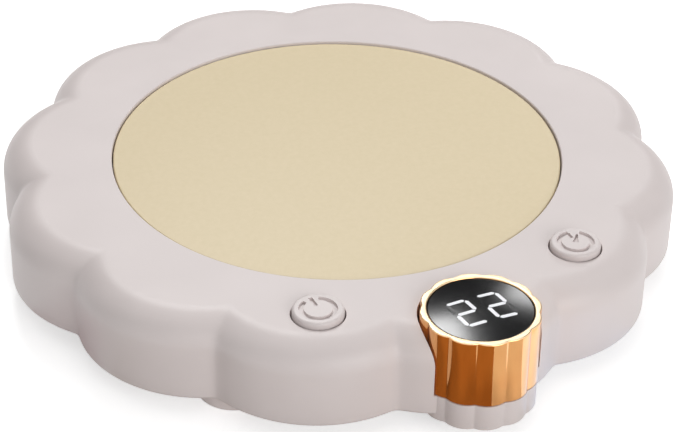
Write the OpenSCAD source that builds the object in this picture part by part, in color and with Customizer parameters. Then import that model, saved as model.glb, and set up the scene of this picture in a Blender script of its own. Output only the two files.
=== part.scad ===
// Electric mug warmer: a scalloped housing with a recessed warming plate, two push buttons and a
// fluted dial that turns round a fixed two-digit display.
// Millimetres. The origin is on the table, under the middle of the flower. +Z is up, and the dial
// stands at the front, on -Y. The mains lead enters at the back, on +Y.

/* [Housing] */
// Number of petals round the housing, and of flutes round the dial
petal_count = 12; // [12:2:16]
// Distance from the middle to a petal's tip
tip_r = 66.5; // [65.5:0.5:72]
// Radius of one petal's arc
petal_r = 24.2; // [23:0.1:26]
// Height of the housing, without its feet
body_h = 16.5; // [16:0.5:22]
// Rounding of the housing's top edge
top_edge = 6; // [4.5:0.1:7]
// Rounding of the housing's bottom edge
bottom_edge = 0.8; // [0.4:0.1:1.5]
// Thickness of the moulded walls
wall = 2; // [1.6:0.1:2.4]

/* [Warming plate] */
// Diameter of the warming plate
plate_d = 88; // [80:0.5:90]
// Thickness of the warming plate
plate_t = 2.6; // [2:0.1:3.2]
// How far the plate lies below the housing's top
plate_recess = 0.4; // [0.2:0.1:0.8]
// Gap round the plate
plate_gap = 0.25; // [0.15:0.05:0.5]
// Thickness of the silicone seal under the plate's rim
seal_t = 0.4; // [0.3:0.1:0.6]
// Width of the ledge that carries the seal and the plate
ledge_w = 4; // [3.4:0.1:5]
// Thickness of that ledge
ledge_t = 1.6; // [1.2:0.1:2]

/* [Heater] */
// Thickness of the aluminium heat spreader
spreader_t = 1; // [0.8:0.1:1.5]
// Thickness of the heating film
film_t = 0.4; // [0.3:0.1:0.6]
// Width of the heating track
track_w = 2.4; // [1.8:0.1:3]
// Number of rings in the heating track
track_rings = 6; // [4:1:7]
// Thickness of the insulating felt
felt_t = 2.2; // [1.8:0.1:2.6]
// Thickness of the steel bracket that holds the heater up
bracket_t = 1; // [0.8:0.1:1.2]
// Radius of the temperature sensor
sensor_r = 3; // [2.5:0.1:4]
// Radius of the thermal fuse
fuse_r = 1.9; // [1.5:0.1:2.2]
// Length of the thermal fuse
fuse_len = 10; // [8:0.5:13]

/* [Buttons] */
// Diameter of a button's hole
button_hole_d = 10; // [9:0.1:11]
// Distance of a button from the middle of the flower
button_orbit = 55; // [54.5:0.1:56]
// Angle of a button from the front
button_angle = 28.4; // [26:0.1:31]
// How far a button stands out of the housing
button_proud = 1.2; // [0.9:0.1:1.8]
// Rounding of a button's edge
button_edge = 0.5; // [0.3:0.1:0.8]
// Gap round a button
button_gap = 0.25; // [0.15:0.05:0.4]
// Travel of a button
button_travel = 0.8; // [0.4:0.1:1]
// Side of a push switch
switch_w = 6; // [5:0.1:7]
// Height of a push switch without its plunger
switch_h = 3.5; // [3:0.1:3.8]
// Length of a button's stem, from its flange down to the switch
stem_len = 1.3; // [1.1:0.1:1.9]

/* [Dial] */
// Distance of the dial's axis from the middle of the flower
dial_orbit = 60.3; // [59.5:0.1:61.5]
// Distance from the dial's axis to the crest of a flute
dial_tip_r = 11; // [10.8:0.1:11.5]
// How far the dial stands out of the housing's top
dial_proud = 1.4; // [1:0.1:2.5]
// Height of the dial's lower edge above the housing's bottom edge
dial_lift = 4.4; // [3.5:0.1:4.5]
// Radius of a flute's bulge
flute_r = 4.6; // [4.2:0.1:4.8]
// Rounding of the dial's top edge
dial_edge = 0.4; // [0.2:0.1:0.6]
// Gap between the dial and its pocket
dial_gap = 0.3; // [0.2:0.05:0.5]
// Radius of the dial's bore
dial_bore_r = 9.6; // [9.5:0.05:9.7]
// How far the skirt under the dial reaches below the housing
skirt_drop = 1; // [0.6:0.1:1.5]

/* [Display] */
// Running gap between the display carrier and the dial
running_gap = 0.05; // [0.03:0.01:0.1]
// Thickness of the lens at its edge
lens_t = 1.2; // [1:0.1:1.6]
// How far the lens is domed
lens_dome = 0.5; // [0.2:0.1:0.8]
// Height of a digit
digit_h = 7.8; // [6:0.1:7.9]
// Width of a digit
digit_w = 4.5; // [3.4:0.1:4.5]
// Distance from digit to digit
digit_pitch = 6.1; // [5.8:0.1:6.2]
// How far a digit leans sideways over its height, as a share of the height
digit_lean = 0.12; // [0:0.01:0.14]
// How far the digits lie to the front of the lens's middle
digits_forward = 0.4; // [0:0.1:0.4]
// Width of a segment
segment_w = 0.8; // [0.6:0.05:1]
// Radius of the hollow post that carries the display
post_r = 4; // [3.6:0.1:4.2]

/* [Base] */
// Thickness of the base cover
base_t = 1.6; // [1.4:0.1:2]
// Height of the feet below the housing
foot_h = 3.6; // [2:0.1:4]
// Radius of a foot
foot_r = 7; // [5:0.5:8]
// Distance of a foot's middle from the petals' tips, towards the middle
foot_inset = 12.5; // [12.5:0.5:16.5]
// Depth of a foot's recess
foot_recess = 0.5; // [0.3:0.1:0.8]
// Distance of the base screws from the petals' tips, towards the middle
screw_inset = 11.5; // [10.5:0.5:13.5]
// Radius of the base screws' shanks
screw_r = 1.4; // [1.1:0.1:1.6]
// Width of a vent slot
vent_w = 1.8; // [1.2:0.1:2.4]

/* [Control board] */
// Thickness of the board
board_t = 1.6; // [1.2:0.1:1.8]
// Least gap between the board's outer edge and the housing's wall
board_edge_gap = 1.5; // [1.2:0.1:2.2]
// Distance from the heating film's edge to the board's inner edge
board_bore_gap = 4; // [3.4:0.1:4.4]
// Width of the ribbon cable to the display
ribbon_w = 4; // [3:0.1:4.4]

/* [Mains lead entry] */
// Radius of the hole through the bushing
entry_r = 2.6; // [2:0.1:3]
// Gap between the bushing's flange and the base cover
entry_gap = 0.4; // [0.3:0.1:0.8]
// How far the bushing stands out of the petal
entry_out = 4.8; // [4:0.1:5.4]

/* [Hidden] */
$fn = 64;
over = 1; // how far a cut runs past what it cuts
lie = 0.05; // gap between faces that lie on each other
seam = 0.04; // how far a petal's cut lies from the crease

petal_step = 360 / petal_count;

base_z = foot_h;
top_z = base_z + body_h;
cover_top_z = base_z + base_t;
inner_top_z = top_z - wall;
cover_gap = 0.2;

plate_r = plate_d / 2;
plate_top_z = top_z - plate_recess;
plate_bottom_z = plate_top_z - plate_t;
ledge_top_z = plate_bottom_z - seal_t;
ledge_bottom_z = ledge_top_z - ledge_t;
ledge_inner_r = plate_r - ledge_w;
rebate_r = plate_r + plate_gap;
housing_middle_r = rebate_r + wall + 1;

spreader_r = ledge_inner_r - 1;
spreader_z = plate_bottom_z - spreader_t;
film_r = spreader_r - 1;
film_z = spreader_z - film_t;
track_t = film_t / 2;
felt_z = film_z - felt_t;
bracket_z = felt_z - bracket_t;
bracket_orbit = ledge_inner_r + ledge_w / 2 + 1;
bracket_angles = [60, 180, 300];
bracket_boss_r = 2.8;
bracket_screw_r = 1.1;
bracket_head_r = 2.2;
bracket_head_h = 1.3;
bracket_screw_len = felt_z - bracket_z + ledge_top_z - felt_z - 0.8;
screw_slack = 0.05;
sensor_gap = 0.3;
fuse_y = 14;
lead_x = 6;
lead_y = -film_r + 5;
lead_r = 0.8;
sensor_lead_r = 0.5;
lead_hole_r = 1.4;

button_hole_r = button_hole_d / 2;
button_r = button_hole_r - button_gap;
button_x = button_orbit * sin(button_angle);
button_y = -button_orbit * cos(button_angle);
collar_t = 1.2;
collar_h = 1.5;
collar_bottom_z = inner_top_z - collar_h;
flange_r = button_hole_r + 1;
flange_t = 1;
flange_top_z = collar_bottom_z - 0.1;
flange_bottom_z = flange_top_z - flange_t;
stem_r = 1.6;

plunger_r = 1.75;
plunger_gap = 0.08;
plunger_proud = 0.9;
plunger_top_z = flange_bottom_z - stem_len;
switch_top_z = plunger_top_z - plunger_proud;
board_top_z = switch_top_z - switch_h; // the board hangs as deep as the buttons reach
board_z = board_top_z - board_t;
board_lift = board_z - cover_top_z;
plunger_bottom_z = board_top_z + 0.3 + button_travel;

// Least distance from the middle to the inside of the housing's wall
inner_valley_r = valley(tip_r - petal_r, petal_r - wall);
board_outer_r = floor(2 * (inner_valley_r - board_edge_gap)) / 2; // down to the half millimetre
board_inner_r = film_r + board_bore_gap;
board_half_angle = 43;
board_post_r = 2.2;
board_screw_r = 1;
board_head_r = 1.8;
board_head_h = 1.1;
// Board screws, as angle from the front and distance from the middle
board_screws_at = [[-39, board_outer_r - 2.5], [39, board_outer_r - 2.5], [0, board_inner_r + 2]];
// Room for a part between the board and the ledge under the plate
part_room = ledge_bottom_z - board_top_z - lie;
capacitor_r = (part_room - 0.25) / 2;
capacitor_len = 10;
converter_h = part_room - 0.65;
triac_h = part_room - 1.05;
triac_tab_h = part_room - 0.75;

dial_y = -dial_orbit;
dial_top_z = top_z + dial_proud;
dial_bottom_z = base_z + dial_lift;
dial_h = dial_top_z - dial_bottom_z;
flute_turn = petal_step / 2; // at rest a crease between two flutes faces the front
flute_root_r = valley(dial_tip_r - flute_r, flute_r);
dial_middle_r = (dial_bore_r + valley(dial_tip_r - flute_r, flute_r - dial_edge)) / 2;
pocket_r = dial_tip_r + dial_gap;
pocket_wall = 1.6;
floor_t = 1.2;
groove_z = dial_bottom_z - 0.1;
groove_bottom_z = groove_z - floor_t;
plateau_r = dial_bore_r - 0.4;
plateau_z = dial_bottom_z + 1.6;
plateau_bottom_z = plateau_z - floor_t;
plateau_hollow_r = plateau_r - wall;
skirt_z = base_z - skirt_drop;
skirt_wall = 1.6;
skirt_inner_r = flute_root_r - skirt_wall;
lobe_r = skirt_inner_r - cover_gap;
lobe_top_z = base_z + 1;

encoder_base_h = 2;
encoder_r = dial_bore_r - 0.6;
rotor_z = plateau_z + encoder_base_h + 0.1;
rotor_h = 1.6;
rotor_r = dial_bore_r - 0.3;
rotor_bore_r = post_r + 0.2;
key_w = 2;
key_gap = 0.1;
key_inner_r = dial_bore_r - 0.8;
key_angles = [0, 120, 240];
lip_z = rotor_z + rotor_h + 0.1;
lip_h = 1;
lip_inner_r = dial_bore_r - 1;

carrier_r = dial_bore_r - running_gap;
carrier_wall = 1;
cup_z = lip_z + lip_h + 0.1;
cup_floor_t = 1.2;
cup_floor_z = cup_z + cup_floor_t;
lens_edge_z = dial_top_z - 0.2;
lens_z = lens_edge_z - lens_t;
lens_r = dial_bore_r - 0.1;
post_wall = 1.2;
post_hollow_r = post_r - post_wall;
post_bottom_z = plateau_bottom_z - 1.3;
clip_t = 0.6;
clip_z = plateau_bottom_z - lie - clip_t;
clip_groove_r = post_r - 0.6;
clip_r = post_r + 1.6;
post_key_w = 1.4;
post_key_r = post_r + 0.7;
spacer_r = 1;
spacer_h = 0.9;
spacer_orbit = 6.6;
display_board_z = cup_floor_z + spacer_h;
display_board_t = 1;
display_board_r = carrier_r - carrier_wall - 0.2;
module_z = display_board_z + display_board_t;
module_w = 2 * digit_w + (digit_pitch - digit_w) + 1.6;
module_l = digit_h + 1.6;
guide_z = lens_z - 0.4 * (lens_z - module_z); // the light guides' lower ends, inside the module
guide_gap = 0.05;

ribbon_t = 0.4;
ribbon_z = (cover_top_z + groove_bottom_z - ribbon_t) / 2;
ribbon_end_y = dial_y + pocket_r + pocket_wall + 0.85;

foot_angles = [45, 135, 225, 315];
foot_orbit = tip_r - foot_inset;
foot_plug_r = foot_r - 2; // the part of a foot that sits in the base
screw_angles = [65, 155, 205, 295];
screw_orbit = tip_r - screw_inset;
screw_boss_r = 3.4;
cover_boss_r = 5;
cover_boss_h = 1.8;
screw_head_r = 2.7;
screw_head_h = 1.7;
screw_sink = 0.4;
screw_seat_z = base_z + screw_sink + screw_head_h;
cover_boss_top_z = cover_top_z + cover_boss_h;
screw_tip_z = cover_boss_top_z + 6;
cover_lip_h = 2.4;
cover_lip_t = 1.2;
vent_count = 9;
vent_pitch = 5;
vent_field_r = 26;

entry_low_z = cover_top_z + entry_gap;
entry_high_z = inner_top_z - 2.5; // under the rounding inside the housing's top
entry_z = (entry_low_z + entry_high_z) / 2;
entry_wall = 1.2;
entry_body_r = entry_r + entry_wall;
entry_flange_r = (entry_high_z - entry_low_z) / 2;
entry_flange_t = 1.4;
entry_seat_y = tip_r - 0.7;
entry_inner_y = tip_r - wall - 0.9;
entry_tail = 1;
entry_end_y = tip_r + entry_out;

// Distance from the middle to the valley between two round petals
function valley(orbit, lobe) =
    orbit * cos(petal_step / 2) + sqrt(pow(lobe, 2) - pow(orbit * sin(petal_step / 2), 2));

// A point of the route, carried on by a smooth curve through all of its points
function curve_point(p, i, t) =
    let (a = p[max(i - 1, 0)], b = p[i], c = p[i + 1], d = p[min(i + 2, len(p) - 1)])
    0.5 * (2 * b + (c - a) * t + (2 * a - 5 * b + 4 * c - d) * t * t
        + (3 * b - 3 * c + d - a) * t * t * t);
function curve(p, steps) = concat(
    [for (i = [0 : len(p) - 2]) for (s = [0 : steps - 1]) curve_point(p, i, s / steps)],
    [p[len(p) - 1]]);
function unit(v) = v / norm(v);
function tangent(p, i) = unit(p[min(i + 1, len(p) - 1)] - p[max(i - 1, 0)]);

// ---- shared shapes ----

// Turns its children to an angle counted from the front, at a distance from the middle
module at_angle(angle, orbit) {
    rotate(angle) translate([0, -orbit, 0]) children();
}

module tube(r, inner_r, h) {
    difference() {
        cylinder(r = r, h = h);
        translate([0, 0, -over]) cylinder(r = inner_r, h = h + 2 * over);
    }
}

// Half section of a disc whose top and bottom edges are rounded
module disc_section(r, h, top_round, bottom_round) {
    square([r - max(top_round, bottom_round), h]);
    translate([0, bottom_round]) square([r, h - top_round - bottom_round]);
    translate([r - top_round, h - top_round]) circle(top_round);
    if (bottom_round > 0) {
        square([r - bottom_round, bottom_round * 2]);
        translate([r - bottom_round, bottom_round]) circle(bottom_round);
    }
}

// A scalloped body: a ring of round petals whose edges are rounded, with the middle filled.
// Each petal is a revolved disc cut to its own sector. Every other one reaches a hair over the
// sector's sides, and its neighbours stop a hair short of them, so that a crease is a plain cut.
// The middle disc ends on the flat top, inside the creases.
module scalloped(tip, lobe, h, top_round, bottom_round, middle_r, inset = 0) {
    orbit = tip - lobe;
    near = 0.99 * middle_r * cos(petal_step / 2);
    for (k = [0 : petal_count - 1]) {
        spare = (k % 2 == 0 ? 2 : -1) * seam / cos(petal_step / 2);
        near_x = near * tan(petal_step / 2) + spare;
        far_x = tip * tan(petal_step / 2) + spare;
        rotate(k * petal_step) intersection() {
            translate([0, -orbit, 0])
                rotate_extrude() disc_section(lobe - inset, h, top_round, bottom_round);
            linear_extrude(h)
                polygon([[-near_x, -near], [near_x, -near], [far_x, -tip], [-far_x, -tip]]);
        }
    }
    cylinder(r = middle_r, h = h);
}

// The same outline with plain edges
module scallop_outline(tip, lobe, inset = 0) {
    orbit = tip - lobe;
    for (k = [0 : petal_count - 1]) {
        rotate(k * petal_step) translate([0, -orbit]) circle(lobe - inset);
    }
    circle(orbit);
}

module scalloped_prism(tip, lobe, h, inset = 0) {
    linear_extrude(h) scallop_outline(tip, lobe, inset);
}

// A tube of eight sides along a route
module lead(route, r) {
    sides = 8;
    p = curve(route, 4);
    points = [
        for (i = [0 : len(p) - 1])
            let (t = tangent(p, i), u = unit(cross([1, 0.02, 0], t)), v = cross(t, u))
            for (k = [0 : sides - 1])
                p[i] + r * (u * cos(k * 360 / sides) + v * sin(k * 360 / sides))
    ];
    last = (len(p) - 1) * sides;
    walls = [
        for (i = [0 : len(p) - 2]) for (k = [0 : sides - 1])
            let (a = i * sides + k, b = i * sides + (k + 1) % sides)
            for (f = [[a, a + sides, b], [b, a + sides, b + sides]]) f
    ];
    caps = [
        for (k = [1 : sides - 2]) for (f = [[0, k, k + 1], [last, last + k + 1, last + k]]) f
    ];
    polyhedron(points, concat(walls, caps));
}

module screw(r, length, head_r, head_h) {
    translate([0, 0, -head_h]) difference() {
        cylinder(r = head_r, h = head_h);
        for (a = [0, 90]) rotate(a) translate([-head_r * 0.6, -0.3, -over])
            cube([head_r * 1.2, 0.6, over + head_h * 0.45]);
    }
    cylinder(r = r, h = length);
}

// ---- housing ----

module dial_pocket_solid() {
    translate([0, dial_y, 0]) {
        translate([0, 0, groove_bottom_z])
            cylinder(r = pocket_r + pocket_wall, h = top_z - groove_bottom_z);
    }
}

module inner_space() {
    difference() {
        translate([0, 0, base_z - over])
            scalloped(tip_r, petal_r, inner_top_z - base_z + over, top_edge - wall, 0,
                housing_middle_r, wall);
        dial_pocket_solid();
        translate([0, 0, ledge_bottom_z])
            cylinder(r = rebate_r + wall, h = body_h);
    }
}

module housing_shell() {
    difference() {
        union() {
            translate([0, 0, base_z])
                scalloped(tip_r, petal_r, body_h, top_edge, bottom_edge, housing_middle_r);
            translate([0, dial_y, skirt_z]) rotate(flute_turn)
                scalloped_prism(dial_tip_r, flute_r, groove_z - skirt_z);
        }
        inner_space();
        translate([0, 0, skirt_z - over])
            scalloped_prism(tip_r, petal_r, base_z - skirt_z + 2 * over, wall);
        translate([0, dial_y, skirt_z - over])
            cylinder(r = skirt_inner_r, h = groove_bottom_z - skirt_z + over);
    }
}

module housing_posts() {
    for (a = screw_angles) at_angle(a, screw_orbit)
        translate([0, 0, cover_boss_top_z + lie])
            cylinder(r = screw_boss_r, h = inner_top_z - cover_boss_top_z - lie + wall / 2);
    for (a = bracket_angles) at_angle(a, bracket_orbit)
        translate([0, 0, felt_z]) cylinder(r = bracket_boss_r, h = ledge_top_z - felt_z);
    for (s = [-1, 1]) translate([s * button_x, button_y, collar_bottom_z])
        cylinder(r = button_hole_r + collar_t, h = collar_h + wall / 2);
}

module upper_housing() {
    color([0.86, 0.82, 0.81]) difference() {
        union() {
            housing_shell();
            housing_posts();
            translate([0, dial_y, plateau_bottom_z]) cylinder(r = plateau_r, h = floor_t);
            translate([0, dial_y, groove_bottom_z])
                cylinder(r = plateau_r, h = plateau_z - groove_bottom_z);
        }
        // seat of the warming plate
        translate([0, 0, ledge_top_z]) cylinder(r = rebate_r, h = body_h);
        cylinder(r = ledge_inner_r, h = top_z + over);
        // dial's pocket, hollow under its floor and keyed hole for the post
        translate([0, dial_y, groove_z])
            tube(pocket_r, plateau_r, top_z - groove_z + over);
        translate([0, dial_y, plateau_z]) cylinder(r = pocket_r, h = body_h);
        translate([0, dial_y, groove_bottom_z - over])
            cylinder(r = plateau_hollow_r, h = plateau_bottom_z - groove_bottom_z + over);
        translate([0, dial_y, plateau_bottom_z - over]) {
            cylinder(r = post_r + 0.1, h = floor_t + 2 * over);
            translate([-post_key_w / 2 - 0.1, 0, 0])
                cube([post_key_w + 0.2, post_key_r + 0.1, floor_t + 2 * over]);
        }
        // button holes
        for (s = [-1, 1]) translate([s * button_x, button_y, collar_bottom_z - over])
            cylinder(r = button_hole_r, h = body_h);
        // screw holes
        for (a = screw_angles) at_angle(a, screw_orbit)
            translate([0, 0, cover_boss_top_z - over])
                cylinder(r = screw_r + screw_slack, h = screw_tip_z - cover_boss_top_z + 1.5 * over);
        for (a = bracket_angles) at_angle(a, bracket_orbit)
            translate([0, 0, felt_z - over])
                cylinder(r = bracket_screw_r + screw_slack, h = ledge_top_z - felt_z + over - 0.4);
        // hole and flat seat of the cord bushing
        translate([0, entry_seat_y, entry_z]) rotate([-90, 0, 0])
            cylinder(r = entry_flange_r + 0.1, h = tip_r);
        translate([0, entry_inner_y - 2 * over, entry_z]) rotate([-90, 0, 0])
            cylinder(r = entry_body_r + 0.1, h = tip_r);
    }
}

// ---- base ----

module cover_outline(z, h, inset) {
    translate([0, 0, z]) scalloped_prism(tip_r, petal_r, h, wall + inset);
}

module cover_vents() {
    for (i = [0 : vent_count - 1])
        let (x = (i - (vent_count - 1) / 2) * vent_pitch,
             half = sqrt(vent_field_r * vent_field_r - x * x) - vent_w)
        translate([x - vent_w / 2, -half, base_z - over])
            cube([vent_w, 2 * half, base_t + 2 * over]);
}

module base_cover() {
    color([0.84, 0.8, 0.79]) difference() {
        union() {
            cover_outline(base_z, base_t, cover_gap);
            // lip that locates the cover inside the housing's wall
            translate([0, 0, cover_top_z - cover_lip_t / 2])
                linear_extrude(cover_lip_h + cover_lip_t / 2) difference() {
                    scallop_outline(tip_r, petal_r, wall + cover_gap);
                    scallop_outline(tip_r, petal_r, wall + cover_gap + cover_lip_t);
                    translate([0, dial_y]) circle(pocket_r + pocket_wall + 0.6);
                    translate([-entry_flange_r - 0.4, 0]) square([2 * entry_flange_r + 0.8, tip_r]);
                }
            // underside of the dial's skirt
            translate([0, dial_y, skirt_z]) cylinder(r = lobe_r, h = lobe_top_z - skirt_z);
            intersection() {
                translate([0, dial_y, skirt_z]) rotate(flute_turn)
                    scalloped_prism(dial_tip_r, flute_r, lobe_top_z - skirt_z);
                cover_outline(skirt_z, base_t + skirt_drop, cover_gap);
            }
            for (a = screw_angles) at_angle(a, screw_orbit)
                translate([0, 0, base_z]) cylinder(r = cover_boss_r, h = cover_boss_top_z - base_z);
            for (p = board_screws_at) at_angle(p[0], p[1])
                translate([0, 0, base_z]) cylinder(r = board_post_r, h = board_z - base_z);
        }
        translate([0, dial_y, lobe_top_z]) cylinder(r = lobe_r, h = body_h);
        cover_vents();
        for (a = foot_angles) at_angle(a, foot_orbit)
            translate([0, 0, base_z - over]) cylinder(r = foot_plug_r + 0.2, h = foot_recess + over);
        for (a = screw_angles) at_angle(a, screw_orbit) {
            translate([0, 0, base_z - over])
                cylinder(r = screw_head_r + 0.3, h = screw_seat_z - base_z + over);
            cylinder(r = screw_r + 0.15, h = body_h);
        }
        for (p = board_screws_at) at_angle(p[0], p[1])
            translate([0, 0, base_z + 1]) cylinder(r = board_screw_r + screw_slack, h = body_h);
    }
}

module feet() {
    color([0.62, 0.58, 0.57]) for (a = foot_angles) at_angle(a, foot_orbit)
        rotate_extrude() {
            disc_section(foot_r, base_z - lie, 0.2, 0.8);
            square([foot_plug_r, base_z + foot_recess - lie]);
        }
}

module base_screws() {
    color([0.6, 0.6, 0.62]) for (a = screw_angles) at_angle(a, screw_orbit)
        translate([0, 0, screw_seat_z - lie])
            screw(screw_r, screw_tip_z - screw_seat_z, screw_head_r, screw_head_h);
}

// ---- warming plate and heater ----

module warming_plate() {
    color([0.88, 0.82, 0.7]) translate([0, 0, plate_bottom_z])
        rotate_extrude() disc_section(plate_r, plate_t, 0.3, 0.3);
}

module plate_seal() {
    color([0.8, 0.8, 0.78]) translate([0, 0, ledge_top_z + lie])
        tube(plate_r - 0.4, ledge_inner_r + 0.3, seal_t - 2 * lie);
}

module heat_spreader() {
    color([0.8, 0.81, 0.83]) translate([0, 0, spreader_z])
        cylinder(r = spreader_r, h = spreader_t - lie);
}

module heating_film() {
    color([0.75, 0.45, 0.12]) translate([0, 0, film_z + track_t]) difference() {
        cylinder(r = film_r, h = film_t - track_t - lie);
        translate([0, 0, -over]) cylinder(r = sensor_r + sensor_gap, h = film_t + 2 * over);
    }
}

// Half rings joined at alternate ends, so that the current runs through all of them
module heating_track() {
    ring_pitch = (film_r - 2 * sensor_r - track_w) / track_rings;
    first_r = 2 * sensor_r;
    color([0.7, 0.7, 0.72]) translate([0, 0, film_z + lie]) linear_extrude(track_t - lie) {
        for (i = [0 : track_rings - 1])
            let (r = first_r + i * ring_pitch)
            difference() {
                circle(r + track_w);
                circle(r);
                translate([-track_w / 2, -r - track_w - over])
                    square([track_w, r + track_w + over]);
            }
        for (i = [0 : track_rings - 2])
            let (r = first_r + i * ring_pitch, s = i % 2 == 0 ? 1 : -1)
            translate([s * track_w - track_w / 2, -r - ring_pitch - track_w / 2])
                square([track_w, ring_pitch]);
    }
}

module insulation_felt() {
    color([0.93, 0.92, 0.88]) translate([0, 0, felt_z + lie]) difference() {
        cylinder(r = film_r, h = felt_t - lie);
        heater_openings(felt_t);
    }
}

// What has to reach the heating film through the felt and the bracket
module heater_openings(t) {
    translate([0, 0, -over]) {
        cylinder(r = sensor_r + sensor_gap, h = t + 2 * over);
        translate([-fuse_len / 2 - 3, fuse_y - fuse_r - 0.3, 0])
            cube([fuse_len + 6, 2 * fuse_r + 0.6, t + 2 * over]);
        for (s = [-1, 1]) translate([s * lead_x, lead_y, 0])
            cylinder(r = lead_hole_r, h = t + 2 * over);
    }
}

module heater_bracket() {
    color([0.72, 0.73, 0.75]) translate([0, 0, bracket_z]) difference() {
        union() {
            cylinder(r = film_r + 0.5, h = bracket_t);
            for (a = bracket_angles) at_angle(a, 0) {
                translate([-4, -bracket_orbit, 0]) cube([8, bracket_orbit, bracket_t]);
                translate([0, -bracket_orbit, 0]) cylinder(r = 4, h = bracket_t);
            }
            translate([0, 0, -0.8]) tube(film_r - 6, film_r - 7.2, 0.8 + bracket_t / 2);
            translate([0, 0, -0.8]) tube(sensor_r + 1.6, sensor_r + sensor_gap, 0.8 + bracket_t / 2);
        }
        heater_openings(bracket_t);
        translate([-lead_x - 2, lead_y - 2, -over]) cube([2 * lead_x + 4, 4, over]);
        for (a = bracket_angles) at_angle(a, bracket_orbit)
            translate([0, 0, -over]) cylinder(r = bracket_screw_r + 0.2, h = bracket_t + 2 * over);
    }
}

module bracket_screws() {
    color([0.6, 0.6, 0.62]) for (a = bracket_angles) at_angle(a, bracket_orbit)
        translate([0, 0, bracket_z - lie]) screw(bracket_screw_r, bracket_screw_len, bracket_head_r, bracket_head_h);
}

module temperature_sensor() {
    color([0.2, 0.2, 0.22]) translate([0, 0, bracket_z]) rotate_extrude()
        disc_section(sensor_r, spreader_z - bracket_z - lie, 0.3, 0.3);
}

module thermal_fuse() {
    z = film_z - lie - fuse_r;
    color([0.85, 0.8, 0.7]) translate([0, fuse_y, z]) rotate([0, 90, 0]) {
        cylinder(r = fuse_r, h = fuse_len, center = true);
        cylinder(r = 0.5, h = fuse_len + 5, center = true);
    }
}

module heater_leads() {
    color([0.85, 0.85, 0.82]) for (s = [-1, 1]) lead([
        [s * lead_x, lead_y, film_z],
        [s * lead_x, lead_y, felt_z],
        [s * lead_x, lead_y, bracket_z],
        [s * lead_x, lead_y - 1, bracket_z - lead_r - 0.4],
        [s * (lead_x + 0.2), lead_y - 4.5, board_top_z + lead_r + 0.4],
        [s * (lead_x + 0.4), -board_inner_r + 0.5, board_top_z + lead_r + 0.8],
        [s * (lead_x + 0.4), -board_inner_r - 2, board_top_z + 1.4],
        [s * (lead_x + 0.4), -board_inner_r - 2, board_top_z + 0.7],
        [s * (lead_x + 0.4), -board_inner_r - 2, board_top_z + lie],
    ], lead_r);
}

module sensor_leads() {
    color([0.2, 0.2, 0.22]) for (s = [-1, 1]) lead([
        [s * 0.8, 0, bracket_z - lie],
        [s * 0.8, 0, bracket_z - 0.5],
        [s * 0.8, 0, bracket_z - 1],
        [s * 0.8, -3, bracket_z - 1.9],
        [s * 0.8, lead_y, bracket_z - 1.9],
        [s * 2.8, -board_inner_r + 1, board_top_z + 0.9],
        [s * 2.8, -board_inner_r - 1.2, board_top_z + 1],
        [s * 2.8, -board_inner_r - 1.2, board_top_z + 0.5],
        [s * 2.8, -board_inner_r - 1.2, board_top_z + lie],
    ], sensor_lead_r);
}

// ---- control board ----

module board_sector(r, h) {
    far = 2 * r;
    intersection() {
        cylinder(r = r, h = h);
        linear_extrude(h) polygon([
            [0, 0],
            [-far * tan(board_half_angle), -far],
            [far * tan(board_half_angle), -far],
        ]);
    }
}

module control_board() {
    color([0.1, 0.4, 0.2]) translate([0, 0, board_z + lie]) difference() {
        board_sector(board_outer_r, board_t - lie);
        translate([0, 0, -over]) cylinder(r = board_inner_r, h = board_t + 2 * over);
        translate([0, dial_y, -over])
            cylinder(r = pocket_r + pocket_wall + 0.5, h = board_t + 2 * over);
        for (p = board_screws_at) at_angle(p[0], p[1])
            translate([0, 0, -over]) cylinder(r = board_screw_r + 0.15, h = board_t + 2 * over);
    }
}

module board_screws() {
    color([0.6, 0.6, 0.62]) for (p = board_screws_at) at_angle(p[0], p[1])
        translate([0, 0, board_top_z + lie]) mirror([0, 0, 1])
            screw(board_screw_r, board_t + board_lift - 1, board_head_r, board_head_h);
}

module on_board(angle, orbit) {
    at_angle(angle, orbit) translate([0, 0, board_top_z + lie]) children();
}

module control_chip() {
    color([0.12, 0.12, 0.13]) on_board(-14, board_inner_r + 3.5) translate([-3, -2.4, 0]) cube([6, 4.8, 1.5]);
}

module power_triac() {
    color([0.12, 0.12, 0.13]) on_board(38, board_inner_r + 5.5) {
        translate([-3.2, -2.2, 0]) cube([6.4, 4.4, triac_h]);
        translate([-3.2, 2.2, 0]) cube([6.4, 0.8, triac_tab_h]);
    }
}

module smoothing_capacitor() {
    color([0.15, 0.2, 0.4]) on_board(-38, board_inner_r + 5.5)
        translate([-capacitor_len / 2, 0, capacitor_r + 0.1]) rotate([0, 90, 0])
        rotate_extrude() disc_section(capacitor_r, capacitor_len, 0.3, 0.3);
}

module power_converter() {
    color([0.85, 0.75, 0.3]) on_board(16.5, board_inner_r + 3.6) translate([-4, -2.6, 0]) cube([8, 5.2, converter_h]);
}

// ---- buttons ----

module switch_body(side) {
    color([0.15, 0.15, 0.16]) translate([side * button_x, button_y, board_top_z + lie])
        difference() {
            translate([-switch_w / 2, -switch_w / 2, 0]) cube([switch_w, switch_w, switch_h - lie]);
            translate([0, 0, 0.2]) cylinder(r = plunger_r + plunger_gap, h = switch_h);
        }
}

module switch_plunger(side) {
    color([0.9, 0.9, 0.88]) translate([side * button_x, button_y, plunger_bottom_z])
        cylinder(r = plunger_r, h = plunger_top_z - plunger_bottom_z);
}

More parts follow.
